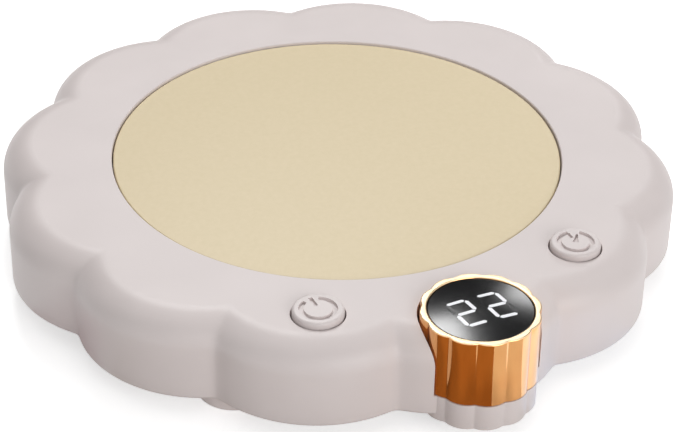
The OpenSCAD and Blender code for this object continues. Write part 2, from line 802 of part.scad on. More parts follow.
module button(side) {
    cap_h = top_z + button_proud - flange_top_z;
    color([0.87, 0.83, 0.82]) translate([side * button_x, button_y, 0]) {
        translate([0, 0, flange_top_z - flange_t / 2]) rotate_extrude()
            disc_section(button_r, cap_h + flange_t / 2, button_edge, 0);
        translate([0, 0, flange_bottom_z]) cylinder(r = flange_r, h = flange_t);
        translate([0, 0, plunger_top_z + lie])
            cylinder(r = stem_r, h = flange_bottom_z - plunger_top_z);
    }
}

// ---- dial and display ----

module dial_ring() {
    color([0.8, 0.48, 0.22]) translate([0, dial_y, 0]) difference() {
        translate([0, 0, dial_bottom_z])
            rotate(flute_turn) scalloped(dial_tip_r, flute_r, dial_h, dial_edge, 0, dial_middle_r);
        difference() {
            translate([0, 0, dial_bottom_z - over])
                cylinder(r = dial_bore_r, h = dial_h + 2 * over);
            translate([0, 0, lip_z]) tube(dial_bore_r + over, lip_inner_r, lip_h);
            for (a = key_angles) rotate(a) translate([0, 0, rotor_z])
                intersection() {
                    translate([-key_w / 2, -dial_bore_r - over, 0])
                        cube([key_w, dial_bore_r, lip_z - rotor_z + lip_h / 2]);
                    tube(dial_bore_r + over, key_inner_r, lip_z - rotor_z + lip_h / 2);
                }
        }
    }
}

module encoder_base() {
    color([0.2, 0.2, 0.22]) translate([0, dial_y, plateau_z + lie])
        tube(encoder_r, rotor_bore_r + 0.1, encoder_base_h - lie);
}

module encoder_rotor() {
    color([0.9, 0.88, 0.82]) translate([0, dial_y, rotor_z]) difference() {
        tube(rotor_r, rotor_bore_r, rotor_h);
        for (a = key_angles) rotate(a)
            translate([-key_w / 2 - key_gap, -rotor_r - over, -over])
                cube([key_w + 2 * key_gap, rotor_r - key_inner_r + key_gap + over, rotor_h + 2 * over]);
    }
}

module display_carrier() {
    color([0.16, 0.16, 0.17]) translate([0, dial_y, 0]) difference() {
        union() {
            translate([0, 0, cup_z]) cylinder(r = carrier_r, h = lens_z - lie - cup_z);
            translate([0, 0, post_bottom_z]) cylinder(r = post_r, h = cup_z - post_bottom_z + over);
            translate([-post_key_w / 2, 0, plateau_bottom_z])
                cube([post_key_w, post_key_r, floor_t]);
        }
        difference() {
            translate([0, 0, cup_floor_z]) cylinder(r = carrier_r - carrier_wall, h = body_h);
            for (a = [0, 120, 240]) rotate(a) translate([0, spacer_orbit, cup_floor_z])
                cylinder(r = spacer_r, h = spacer_h - lie);
        }
        translate([0, 0, post_bottom_z - over]) cylinder(r = post_hollow_r, h = body_h);
        translate([0, 0, clip_z - 0.05]) tube(post_r + over, clip_groove_r, clip_t + 0.1);
    }
}

module carrier_clip() {
    color([0.6, 0.6, 0.62]) translate([0, dial_y, clip_z]) difference() {
        tube(clip_r, clip_groove_r + 0.05, clip_t);
        translate([-clip_groove_r * 0.7, 0, -over])
            cube([clip_groove_r * 1.4, clip_r + over, clip_t + 2 * over]);
    }
}

module display_board() {
    color([0.1, 0.4, 0.2]) translate([0, dial_y, display_board_z])
        cylinder(r = display_board_r, h = display_board_t - lie);
}

// One segment, lying along X with pointed ends
// Segments a to g of one digit: along the top, then clockwise, and the middle one last
module digit(which, grow) {
    gap = 0.12;
    half_w = (digit_w - segment_w) / 2;
    half_h = (digit_h - segment_w) / 2;
    bar = 2 * half_w - 2 * gap;
    stile = half_h - 2 * gap;
    places = [
        [0, half_h, false, bar], [half_w, half_h / 2, true, stile], [half_w, -half_h / 2, true, stile],
        [0, -half_h, false, bar], [-half_w, -half_h / 2, true, stile],
        [-half_w, half_h / 2, true, stile], [0, 0, false, bar],
    ];
    w = segment_w / 2 + grow;
    for (i = which) {
        l = places[i][3] / 2 + grow;
        polygon([
            for (p = [[-l, 0], [-l + w, -w], [l - w, -w], [l, 0], [l - w, w], [-l + w, w]])
                let (q = places[i][2] ? [-p[1], p[0]] : p,
                     x = places[i][0] + q[0], y = places[i][1] + q[1])
                [x - digit_lean * y, y]
        ]);
    }
}

module digits(which, grow = 0) {
    for (s = [-1, 1]) translate([s * digit_pitch / 2, -digits_forward]) digit(which, grow);
}

module lens_blank(r, bottom_z) {
    dome_r = (lens_r * lens_r + lens_dome * lens_dome) / (2 * lens_dome);
    rotate_extrude() intersection() {
        translate([0, bottom_z]) square([r, lens_edge_z + lens_dome - bottom_z]);
        translate([0, lens_edge_z + lens_dome - dome_r]) circle(dome_r, $fn = 720);
    }
}

module segment_guides(which) {
    translate([0, dial_y, 0]) intersection() {
        lens_blank(lens_r, guide_z);
        translate([0, 0, guide_z]) linear_extrude(lens_t + lens_dome + 2 * over) digits(which);
    }
}

module display_module() {
    color([0.1, 0.1, 0.11]) translate([0, dial_y, module_z]) difference() {
        translate([-module_w / 2, -module_l / 2 - digits_forward, 0])
            cube([module_w, module_l, lens_z - module_z - lie]);
        translate([0, 0, guide_z - module_z - lie]) linear_extrude(body_h) digits([0 : 6], guide_gap);
    }
}

module lit_segments() {
    color([0.97, 0.97, 0.97]) segment_guides([0, 1, 3, 4, 6]);
}

module unlit_segments() {
    color([0.05, 0.05, 0.05]) segment_guides([2, 5]);
}

module display_lens() {
    color([0.03, 0.03, 0.03]) translate([0, dial_y, 0]) difference() {
        lens_blank(lens_r, lens_z);
        translate([0, 0, lens_z - over]) linear_extrude(body_h) digits([0 : 6], guide_gap);
    }
}

// Flat cable from the display, down inside the post and along the base to the board's underside
module display_ribbon() {
    half = ribbon_t / 2;
    z = ribbon_z + half;
    color([0.85, 0.85, 0.85]) translate([-ribbon_w / 2, 0, 0]) rotate([90, 0, 90])
        linear_extrude(ribbon_w) polygon([
            [dial_y - half, display_board_z - lie],
            [dial_y - half, z - half],
            [ribbon_end_y + half, z - half],
            [ribbon_end_y + half, board_z],
            [ribbon_end_y - half, board_z],
            [ribbon_end_y - half, z + half],
            [dial_y + half, z + half],
            [dial_y + half, display_board_z - lie],
        ]);
}

// ---- mains lead entry ----

module cord_bushing() {
    color([0.8, 0.76, 0.75]) translate([0, 0, entry_z]) rotate([-90, 0, 0]) difference() {
        union() {
            translate([0, 0, entry_inner_y - entry_flange_t - entry_tail])
                cylinder(r = entry_body_r, h = entry_end_y - entry_inner_y + entry_flange_t + entry_tail - 2);
            translate([0, 0, entry_end_y - 2.6]) rotate_extrude()
                disc_section(entry_body_r, 2.6, 0.8, 0);
            translate([0, 0, entry_inner_y - entry_flange_t])
                cylinder(r = entry_flange_r, h = entry_flange_t);
            translate([0, 0, entry_seat_y + lie]) rotate_extrude()
                disc_section(entry_flange_r, entry_flange_t + 0.6, 0.6, 0);
        }
        translate([0, 0, entry_inner_y - entry_flange_t - entry_tail - over])
            cylinder(r = entry_r, h = tip_r);
    }
}

upper_housing();
base_cover();
feet();
base_screws();
warming_plate();
plate_seal();
heat_spreader();
heating_film();
heating_track();
insulation_felt();
heater_bracket();
bracket_screws();
temperature_sensor();
thermal_fuse();
heater_leads();
sensor_leads();
control_board();
board_screws();
control_chip();
power_triac();
smoothing_capacitor();
power_converter();
switch_body(-1);  // power_switch
switch_plunger(-1);  // power_switch_plunger
button(-1);  // power_button
switch_body(1);  // timer_switch
switch_plunger(1);  // timer_switch_plunger
button(1);  // timer_button
dial_ring();
encoder_base();
encoder_rotor();
display_carrier();
carrier_clip();
display_board();
display_module();
lit_segments();
unlit_segments();
display_lens();
display_ribbon();
cord_bushing();
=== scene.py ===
# %% [markdown]
# # A flower-shaped mug warmer
# A mug warmer is a low moulded housing round a heated plate. This lesson starts from the packed
# model, which already holds every part at its real size, and gives it the looks of the real one.
# The first cell loads that model. Everything is in metres, and +Z is up.

# %% Load the model
import math

import bmesh
import bpy
from mathutils import Matrix, Vector


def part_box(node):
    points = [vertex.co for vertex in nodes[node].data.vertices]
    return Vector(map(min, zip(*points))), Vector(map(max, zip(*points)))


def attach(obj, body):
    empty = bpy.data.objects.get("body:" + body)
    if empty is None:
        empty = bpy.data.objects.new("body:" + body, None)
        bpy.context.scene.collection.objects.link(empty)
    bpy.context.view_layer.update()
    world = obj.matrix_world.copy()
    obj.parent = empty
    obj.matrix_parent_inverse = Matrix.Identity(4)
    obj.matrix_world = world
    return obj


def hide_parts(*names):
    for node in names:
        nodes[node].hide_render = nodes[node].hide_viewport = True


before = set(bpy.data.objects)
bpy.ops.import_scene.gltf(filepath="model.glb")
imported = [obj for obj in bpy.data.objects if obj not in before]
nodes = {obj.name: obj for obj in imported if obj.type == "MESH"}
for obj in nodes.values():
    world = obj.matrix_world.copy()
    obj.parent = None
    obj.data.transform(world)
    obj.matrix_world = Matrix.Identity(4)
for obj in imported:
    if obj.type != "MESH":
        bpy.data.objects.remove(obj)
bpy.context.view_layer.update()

# %% [markdown]
# Each size that a new piece needs is read from the model where it can be, so that the two agree.
# `top_of` and `bottom_of` give a part's heights. Lengths that the model's boxes don't show are
# written in millimetres.

# %% Sizes
MM = 0.001


def bottom_of(node):
    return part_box(node)[0][2] / MM


def top_of(node):
    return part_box(node)[1][2] / MM


petals = 12
petal_step = math.tau / petals
petal_tip = 66.5
petal_radius = 24.2
petal_points = 44
crease_softness = 0.45
body_height = 16.5
body_top = top_of("upper_housing")
body_bottom = body_top - body_height
plate_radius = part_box("warming_plate")[1][0] / MM
dial_y = (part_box("dial_ring")[0][1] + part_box("dial_ring")[1][1]) / 2 / MM
dial_tip = 11
flute_radius = 4.6
print("petal tip", round(petal_tip, 2), "body", round(body_bottom, 2), "to", round(body_top, 2))
print("dial at y", round(dial_y, 2), "from", round(bottom_of("dial_ring"), 2))

# %% [markdown]
# ## The camera
# The camera stands where the photographer stood. Its place, height and roll were found by fitting
# the round plate, the petals and the buttons. A long lens, about 119 mm, keeps the ellipses calm.

# %% Camera
look_at = Vector((-9.36, -21.50, body_top)) * MM
height_angle, side_angle, roll = (math.radians(a) for a in (33.403, -25.5415, 1.0025))
distance = 422.56 * MM
backwards = Vector((
    math.sin(side_angle) * math.cos(height_angle),
    -math.cos(side_angle) * math.cos(height_angle),
    math.sin(height_angle),
))
level_right = Vector((math.cos(side_angle), math.sin(side_angle), 0))
level_up = backwards.cross(level_right)
right = math.cos(roll) * level_right + math.sin(roll) * level_up
up = -math.sin(roll) * level_right + math.cos(roll) * level_up

camera_data = bpy.data.cameras.new("camera")
camera_data.sensor_width = 36
camera_data.lens = 118.69
camera = bpy.data.objects.new("camera", camera_data)
bpy.context.scene.collection.objects.link(camera)
pose = Matrix((right, up, backwards)).transposed().to_4x4()
pose.translation = look_at + backwards * distance
camera.matrix_world = pose
bpy.context.scene.camera = camera
print("camera at", [round(c, 3) for c in pose.translation])

# %% [markdown]
# ## Helpers for meshes
# A closed part comes from a bmesh. `finish_mesh` turns the bmesh into an object, merges stray
# doubles, points the faces outwards and smooths the shading everywhere except at real edges.

# %% From bmesh to object
def finish_mesh(bm, name, edge_angle=35):
    bmesh.ops.remove_doubles(bm, verts=bm.verts, dist=0.0004 * MM)
    bmesh.ops.recalc_face_normals(bm, faces=bm.faces)
    mesh = bpy.data.meshes.new(name)
    bm.to_mesh(mesh)
    bm.free()
    mesh.shade_smooth()
    mesh.set_sharp_from_angle(angle=math.radians(edge_angle))
    piece = bpy.data.objects.new(name, mesh)
    bpy.context.scene.collection.objects.link(piece)
    return piece


# %% [markdown]
# Many parts are turned: a half section goes round an axis. `spin` does that, with `use_merge` so
# that the last copy joins the first. The section is a list of radius and height in millimetres.
# Several turned parts can share one bmesh, so only the vertices joined to this section are moved
# to its centre.

# %% Turned parts
def turn(bm, section, centre=(0, 0), segments=96):
    points = [bm.verts.new((r * MM, 0, z * MM)) for r, z in section]
    edges = [bm.edges.new(pair) for pair in zip(points, points[1:] + points[:1])]
    bmesh.ops.spin(
        bm, geom=points + edges, cent=(0, 0, 0), axis=(0, 0, 1), angle=math.tau,
        steps=segments, use_merge=True, use_duplicate=False)
    new = set()
    reach = list(points)
    while reach:
        v = reach.pop()
        if v in new:
            continue
        new.add(v)
        reach.extend(e.other_vert(v) for e in v.link_edges)
    bmesh.ops.translate(bm, verts=list(new), vec=Vector((centre[0], centre[1], 0)) * MM)


def arc(centre_r, centre_z, radius, start, end, steps):
    turns = [math.radians(start + (end - start) * i / steps) for i in range(steps + 1)]
    return [(centre_r + radius * math.cos(t), centre_z + radius * math.sin(t)) for t in turns]


# %% [markdown]
# The flower outline is a ring of round petals. For a direction, the distance to each petal's arc
# comes from the cosine rule. A soft maximum of two neighbours gives the moulding's small radius in
# the crease, instead of a knife edge.

# %% Flower outline
def flower_radius(off, tip, lobe, inset, softness):
    orbit = tip - lobe
    lobe -= inset
    reach = []
    for side in (0, petal_step, -petal_step):
        across = orbit * math.sin(off - side)
        if abs(across) < lobe:
            reach.append(orbit * math.cos(off - side) + math.sqrt(lobe * lobe - across * across))
    best = max(reach)
    return best + softness * math.log(sum(math.exp((r - best) / softness) for r in reach))


valley = flower_radius(petal_step / 2, petal_tip, petal_radius, 0, crease_softness)
print("valley radius:", round(valley, 2))


# %% [markdown]
# A ring of vertices is extruded again and again, and each new ring is moved to its place in the
# section. An extruded ring starts where the last one lies, so each new vertex is found by its
# place. The vertices crowd together near the creases, where the outline turns fast. A section
# point says how far the ring lies inside the outline, or gives a plain radius for a round ring.

# %% Rings
def crowded_offs(per_petal):
    spread = [-1 + 2 * i / per_petal for i in range(per_petal)]
    return [petal_step / 2 * (0.45 * u + 0.55 * math.sin(math.pi / 2 * u)) for u in spread]


def ring_edges(ring):
    pairs = zip(ring, ring[1:] + ring[:1])
    return [next(e for e in a.link_edges if e.other_vert(a) is b) for a, b in pairs]


def flower_rings(bm, section, tip, lobe, softness, per_petal, centre=(0, 0), closed=True, turned=0):
    offs = crowded_offs(per_petal) * petals
    middles = [k * petal_step - math.pi / 2 + turned
               for k in range(petals) for i in range(per_petal)]
    ring = bmesh.ops.create_circle(bm, segments=len(offs), radius=1)["verts"]
    ring.sort(key=lambda v: math.atan2(v.co.x, -v.co.y) % math.tau)
    first = None
    for inset, z, kind in section:
        if first is None:
            first = ring
        else:
            made = bmesh.ops.extrude_edge_only(bm, edges=ring_edges(ring))["geom"]
            fresh = [g for g in made if isinstance(g, bmesh.types.BMVert)]
            where = {tuple(round(c, 9) for c in v.co): v for v in fresh}
            ring = [where[tuple(round(c, 9) for c in v.co)] for v in ring]
        for v, off, middle in zip(ring, offs, middles):
            r = inset if kind == "round" else flower_radius(off, tip, lobe, inset, softness)
            v.co = Vector((r * math.cos(middle + off), r * math.sin(middle + off), z)) * MM
    if closed:
        bmesh.ops.bridge_loops(bm, edges=ring_edges(first) + ring_edges(ring))
    else:
        for loop in (first, ring):
            bmesh.ops.contextual_create(bm, geom=loop)
    bmesh.ops.translate(bm, verts=bm.verts, vec=Vector((centre[0], centre[1], 0)) * MM)


# %% [markdown]
# Holes and pockets are cut with the Boolean modifier. It is applied at once, and the cutter is
# thrown away, so that the finished object carries plain geometry. A Boolean can leave edges of no
# length, and `smooth_edges` closes those up before it smooths the shading.

# %% Cut, join and keep the overlap
def combine(piece, other, operation):
    cut = piece.modifiers.new("cut", "BOOLEAN")
    cut.operation = operation
    cut.solver = "EXACT"
    cut.object = other
    graph = bpy.context.evaluated_depsgraph_get()
    mesh = bpy.data.meshes.new_from_object(piece.evaluated_get(graph))
    piece.modifiers.remove(cut)
    old = piece.data
    piece.data = mesh
    bpy.data.meshes.remove(old)
    scrap = other.data
    bpy.data.objects.remove(other)
    bpy.data.meshes.remove(scrap)
    return piece


def smooth_edges(piece, edge_angle):
    no_length = 0.0001 * MM
    bm = bmesh.new()
    bm.from_mesh(piece.data)
    bmesh.ops.remove_doubles(bm, verts=bm.verts, dist=no_length)
    bmesh.ops.dissolve_degenerate(bm, edges=bm.edges, dist=no_length)
    bmesh.ops.delete(bm, geom=[e for e in bm.edges if not e.link_faces], context="EDGES")
    bm.to_mesh(piece.data)
    bm.free()
    piece.data.shade_smooth()
    piece.data.set_sharp_from_angle(angle=math.radians(edge_angle))


def rod(radius, low, high, centre, segments=96):
    bm = bmesh.new()
    turn(bm, [(0, low), (radius, low), (radius, high), (0, high)], centre, segments)
    return finish_mesh(bm, "cutter")


# %% [markdown]
# ## The housing
# The real housing is one moulding: a flower with a soft top edge, a round seat for the plate, two
# button holes, and a pocket at the front with a fluted skirt under it. `outer_wall` gives the
# outside, from the bottom edge to the end of the soft top edge. `wall_section` adds the top, the
# seat and the inside, and the rings follow it.

# %% Housing shell
wall = 2.0
top_round = 6.0
top_band = 0.12
top_ring = 52
bottom_round = 0.8
seat_radius = plate_radius + 0.25
seat_chamfer = 0.15
ledge_radius = plate_radius - 4
seat_z = bottom_of("warming_plate") - 0.4
ledge_z = seat_z - 1.6
inside_top = body_top - wall


def outer_wall():
    rows = []
    for a in range(0, 91, 18):
        t = math.radians(a)
        inset = bottom_round * (1 - math.sin(t))
        rows.append((inset, body_bottom + bottom_round * (1 - math.cos(t)), "flower"))
    for z in (body_bottom + 3, body_bottom + 6, body_top - top_round - 2):
        rows.append((0, z, "flower"))
    for a in range(0, 91, 6):
        t = math.radians(a)
        inset = top_round * (1 - math.cos(t))
        rows.append((inset, body_top - top_round * (1 - math.sin(t)), "flower"))
    return rows


def wall_section():
    rows = outer_wall() + [(top_round + top_band, body_top, "flower")]
    rows += [(top_ring, body_top, "round"), (seat_radius + 2 * seat_chamfer, body_top, "round"),
             (seat_radius + seat_chamfer, body_top, "round"),
             (seat_radius, body_top - seat_chamfer, "round"), (seat_radius, seat_z, "round"),
             (ledge_radius, seat_z, "round"), (ledge_radius, ledge_z, "round"),
             (seat_radius + wall, ledge_z, "round"), (seat_radius + wall, inside_top, "round")]
    inner_round = top_round - wall
    for a in range(90, -1, -15):
        t = math.radians(a)
        rows.append((wall + inner_round * (1 - math.cos(t)),
                     inside_top - inner_round * (1 - math.sin(t)), "flower"))
    rows.append((wall, body_bottom, "flower"))
    return rows


bm = bmesh.new()
flower_rings(bm, wall_section(), petal_tip, petal_radius, crease_softness, petal_points)
housing = finish_mesh(bm, "housing")
print("housing shell faces:", len(housing.data.polygons))

# %% [markdown]
# The dial's pocket needs material behind it. A round plug, kept only where it overlaps a solid
# flower, gives that, and the fluted skirt joins below. Then the pocket, the button holes and the
# lead entry are cut. Surfaces that lie exactly on each other leave a Boolean in doubt, so hidden
# ones are kept `apart`: the solid flower ends inside the wall, and the skirt reaches up past the
# pocket's floor. The cut trims it there, except inside the post, where the display hides it.

# %% Pocket, skirt and holes
pocket_radius = dial_tip + 0.3
pocket_floor = bottom_of("dial_ring") - 0.1
plateau_top = bottom_of("encoder_base") - 0.05
skirt_bottom = bottom_of("upper_housing")
pocket_wall = 1.6
post_radius = 9.2
skirt_hollow = 8.6
skirt_edge = 0.25
apart = 0.5

bm = bmesh.new()
solid_rows = [(inset + apart, z - apart, kind) for inset, z, kind in outer_wall()]
flower_rings(bm, solid_rows, petal_tip, petal_radius, crease_softness, petal_points, closed=False)
block = finish_mesh(bm, "block")
plug = rod(pocket_radius + pocket_wall, pocket_floor - 1.2, body_top + 1, (0, dial_y),
           segments=128)
plug = combine(plug, block, "INTERSECT")
housing = combine(housing, plug, "UNION")

rows = [(skirt_edge, skirt_bottom, "flower"), (0.07, skirt_bottom + 0.07, "flower"),
        (0, skirt_bottom + skirt_edge, "flower"), (0, pocket_floor + apart, "flower")]
bm = bmesh.new()
flower_rings(bm, rows, dial_tip, flute_radius, softness=0.06, per_petal=28, centre=(0, dial_y),
             closed=False, turned=petal_step / 2)
skirt = finish_mesh(bm, "skirt")
hollow = rod(skirt_hollow, skirt_bottom - 1, pocket_floor - 1, (0, dial_y))
skirt = combine(skirt, hollow, "DIFFERENCE")
housing = combine(housing, skirt, "UNION")

bm = bmesh.new()
turn(bm, [(0, plateau_top), (post_radius, plateau_top), (post_radius, pocket_floor),
          (pocket_radius, pocket_floor), (pocket_radius, body_top + 3), (0, body_top + 3)],
     (0, dial_y), segments=160)
housing = combine(housing, finish_mesh(bm, "cutter"), "DIFFERENCE")
print("with pocket and skirt:", len(housing.data.polygons))

# %% Button holes and lead entry
hole_radius, hole_chamfer = 5, 0.07
entry_radius, recess_radius = 3.9, 5.1
bushing_seat = petal_tip - 0.7
button_places = {}
for name in ("power_button", "timer_button"):
    low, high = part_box(name)
    button_places[name] = ((low[0] + high[0]) / 2 / MM, (low[1] + high[1]) / 2 / MM)
for x, y in button_places.values():
    bm = bmesh.new()
    turn(bm, [(0, inside_top - 2), (hole_radius, inside_top - 2),
              (hole_radius, body_top - hole_chamfer), (hole_radius + hole_chamfer, body_top),
              (hole_radius + hole_chamfer + 1, body_top + 1), (0, body_top + 1)], (x, y))
    housing = combine(housing, finish_mesh(bm, "cutter"), "DIFFERENCE")

entry_z = (bottom_of("cord_bushing") + top_of("cord_bushing")) / 2
bm = bmesh.new()
turn(bm, [(0, 50), (entry_radius, 50), (entry_radius, bushing_seat), (recess_radius, bushing_seat),
          (recess_radius, 80), (0, 80)], segments=64)
bmesh.ops.rotate(bm, verts=bm.verts, cent=(0, 0, 0), matrix=Matrix.Rotation(-math.pi / 2, 3, "X"))
bmesh.ops.translate(bm, verts=bm.verts, vec=(0, 0, entry_z * MM))
housing = combine(housing, finish_mesh(bm, "cutter"), "DIFFERENCE")
smooth_edges(housing, 32)
print("housing faces:", len(housing.data.polygons))
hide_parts("upper_housing")
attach(housing, "housing")

# %% [markdown]
# ## The plate
# The plate is a flat disc with a tiny round on its edge. It lies a hair below the housing, and the
# dark line round it in the photograph is the gap between the two.

# %% Warming plate
plate_low, plate_high = bottom_of("warming_plate"), top_of("warming_plate")
bm = bmesh.new()
edge = 0.3
turn(bm,
     [(0, plate_low)] + arc(plate_radius - edge, plate_low + edge, edge, -90, 0, 4)
     + arc(plate_radius - edge, plate_high - edge, edge, 0, 90, 6) + [(0, plate_high)],
     segments=256)
plate = finish_mesh(bm, "plate")
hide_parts("warming_plate")
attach(plate, "housing")
print("plate from", round(plate_low, 2), "to", round(plate_high, 2))

# %% [markdown]
# ## The buttons
# Each button is a small turned cap with a flange under the housing that stops it from coming out.
# Its symbol is engraved, so it is cut into the cap. A shallow groove catches shade by itself, and
# no darker paint is needed.

# %% Button caps
cap_radius = 4.72
cap_edge = 0.55
stem_radius, flange_radius = 1.6, 6
groove = 0.52
above = 0.5


def button_cap(name):
    low, high = bottom_of(name), top_of(name)
    flange_low, flange_high = high - 5.7, high - 4.7
    rows = [(0, low), (stem_radius, low), (stem_radius, flange_low), (flange_radius, flange_low),
            (flange_radius, flange_high), (cap_radius, flange_high)]
    rows += arc(cap_radius - cap_edge, high - cap_edge, cap_edge, 0, 90, 8) + [(0, high)]
    bm = bmesh.new()
    turn(bm, rows, button_places[name], segments=128)
    return finish_mesh(bm, name + "_cap")


def groove_ring(centre, radius, width, start, end, high):
    bm = bmesh.new()
    half = width / 2
    corners = [(radius - half, high - groove), (radius + half, high - groove),
               (radius + half + 0.1, high + above), (radius - half - 0.1, high + above)]
    verts = [bm.verts.new((r * MM, 0, z * MM)) for r, z in corners]
    face = bm.faces.new(verts)
    bmesh.ops.rotate(bm, verts=verts, cent=(0, 0, 0),
                     matrix=Matrix.Rotation(math.radians(start), 3, "Z"))
    bmesh.ops.spin(bm, geom=[face], cent=(0, 0, 0), axis=(0, 0, 1),
                   angle=math.radians(end - start), steps=72)
    bmesh.ops.translate(bm, verts=bm.verts, vec=Vector((centre[0], centre[1], 0)) * MM)
    return finish_mesh(bm, "cutter")


def groove_shape(centre, corners, high):
    bm = bmesh.new()
    verts = [bm.verts.new(Vector((centre[0] + x, centre[1] + y, high - groove)) * MM)
             for x, y in corners]
    face = bm.faces.new(verts)
    made = bmesh.ops.extrude_face_region(bm, geom=[face])["geom"]
    lifted = [g for g in made if isinstance(g, bmesh.types.BMVert)]
    bmesh.ops.translate(bm, verts=lifted, vec=(0, 0, (groove + above) * MM))
    return finish_mesh(bm, "cutter")


# %% Power symbol and timer symbol
button_top = top_of("power_button")
ring_radius, line = 3.05, 0.84

at = button_places["power_button"]
power = button_cap("power_button")
broken_ring = groove_ring(at, ring_radius, line, 90 + 26, 90 + 334, button_top)
power = combine(power, broken_ring, "DIFFERENCE")
stroke = [(-0.37, 0.85), (0.37, 0.85), (0.37, 3.5), (-0.37, 3.5)]
power = combine(power, groove_shape(at, stroke, button_top), "DIFFERENCE")

at = button_places["timer_button"]
timer = button_cap("timer_button")
clock_ring = groove_ring(at, ring_radius, line, 90 - 2, 90 + 318, button_top)
timer = combine(timer, clock_ring, "DIFFERENCE")
tick = [(-0.3, 1.3), (0.3, 1.3), (0.3, 3.0), (-0.3, 3.0)]
timer = combine(timer, groove_shape(at, tick, button_top), "DIFFERENCE")
needle = Matrix.Rotation(math.radians(-36), 2)
hand = [needle @ Vector(c) for c in ((-0.55, -0.2), (0.55, -0.2), (0.14, 2.5), (-0.14, 2.5))]
timer = combine(timer, groove_shape(at, hand, button_top), "DIFFERENCE")
for piece, body in ((power, "power_button"), (timer, "timer_button")):
    smooth_edges(piece, 30)
    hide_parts(body)
    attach(piece, body)
    print(piece.name, "faces:", len(piece.data.polygons))

# %% [markdown]
# ## The dial
# The dial is a bright metal ring with twelve flutes. Its creases stay crisp, because the metal's
# reflections draw them. Its section goes up the flutes, over the thin rim and down the bore, where
# a small lip rests between the encoder's wheel and the display.

# %% Fluted ring
dial_low, dial_high = bottom_of("dial_ring"), top_of("dial_ring")
bore = 9.6
lip_low = top_of("encoder_rotor") + 0.1
rim = 0.28
rows = [(0.15, dial_low, "flower"), (0, dial_low + 0.15, "flower"), (0, dial_low + 4, "flower"),
        (0, dial_high - 4, "flower")]
for t in [math.radians(a) for a in range(0, 91, 10)]:
    rows.append((rim * (1 - math.cos(t)), dial_high - rim * (1 - math.sin(t)), "flower"))
for t in [math.radians(a) for a in range(0, 91, 15)]:
    rows.append((bore + rim * (1 - math.sin(t)), dial_high - rim * (1 - math.cos(t)), "round"))
rows += [(bore, lip_low + 1, "round"), (bore - 1, lip_low + 1, "round"),
         (bore - 1, lip_low, "round"), (bore, lip_low, "round"), (bore, dial_low, "round")]
bm = bmesh.new()
flower_rings(bm, rows, dial_tip, flute_radius, softness=0.04, per_petal=40, centre=(0, dial_y),
             turned=petal_step / 2)
dial = finish_mesh(bm, "dial", edge_angle=30)
# The rim's top faces get a paler finish, which paints part of their highlight.
rim_highlight_faces = [f for f in dial.data.polygons
             if f.normal.z > 0.5 and f.center.z > (dial_high - rim) * MM]
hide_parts("dial_ring")
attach(dial, "dial")
print("dial faces:", len(dial.data.polygons), "of them on the rim:", len(rim_highlight_faces))

# %% [markdown]
# ## The display
# A glossy black window closes the display. It is slightly domed, so it mirrors the studio in a soft
# gradient. The numerals are light guides: short bars with pointed ends, a hair proud of the window.

# %% Window
window_top = top_of("display_lens")
window_low = bottom_of("display_lens")
window_radius = bore - 0.1
window_edge = 0.12
dome = 0.5
dome_steps = 23
sunk = 0.03
sphere = (window_radius ** 2 + dome ** 2) / (2 * dome)
rows = [(0, window_low), (window_radius, window_low),
        (window_radius, window_top - dome - window_edge)]
for i in range(dome_steps + 1):
    r = (window_radius - window_edge) * (1 - i / dome_steps)
    rows.append((r, window_top - sphere + math.sqrt(sphere ** 2 - r ** 2) - sunk))
bm = bmesh.new()
turn(bm, rows, (0, dial_y), segments=160)
window = finish_mesh(bm, "window", edge_angle=30)
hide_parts("display_lens")
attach(window, "housing")
print("window radius", round(window_radius, 2))

# %% Numerals
digit_height, digit_width, digit_pitch, bar = 7.8, 4.5, 6.1, 0.74
lean = -0.12
digits_y = dial_y - 0.4


def segment_places():
    w, h, gap = (digit_width - bar) / 2, (digit_height - bar) / 2, 0.12
    level, upright = 2 * w - 2 * gap, h - 2 * gap
    return {"a": (0, h, 0, level), "b": (w, h / 2, 90, upright), "c": (w, -h / 2, 90, upright),
            "d": (0, -h, 0, level), "e": (-w, -h / 2, 90, upright), "f": (-w, h / 2, 90, upright),
            "g": (0, 0, 0, level)}


def numerals(name, letters, replaced):
    bm = bmesh.new()
    floor = bottom_of("lit_segments")
    for x in (-digit_pitch / 2, digit_pitch / 2):
        for letter in letters:
            px, py, turned, length = segment_places()[letter]
            l, w = length / 2, bar / 2
            outline = [(-l, 0), (-l + w, -w), (l - w, -w), (l, 0), (l - w, w), (-l + w, w)]
            verts = []
            for u, v in outline:
                if turned:
                    u, v = -v, u
                u, v = px + u, py + v
                verts.append(bm.verts.new(Vector((x + u + v * lean, digits_y + v, floor)) * MM))
            face = bm.faces.new(verts)
            made = bmesh.ops.extrude_face_region(bm, geom=[face])["geom"]
            for g in made:
                if isinstance(g, bmesh.types.BMVert):
                    r2 = (g.co.x / MM) ** 2 + (g.co.y / MM - dial_y) ** 2
                    g.co.z = (window_top - sphere + math.sqrt(sphere ** 2 - r2)) * MM
    piece = finish_mesh(bm, name, edge_angle=30)
    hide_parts(replaced)
    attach(piece, "housing")
    return piece


lit = numerals("lit_numerals", "abged", "lit_segments")
unlit = numerals("dark_numerals", "cf", "unlit_segments")
print("lit bars:", len(lit.data.polygons) // 8)

# %% [markdown]
# ## Feet and lead entry
# Four soft feet sit in recesses of the base. Each is turned, with a shallow ring on its underside
# that helps it grip. The bushing at the back is turned too, and laid along the Y axis.

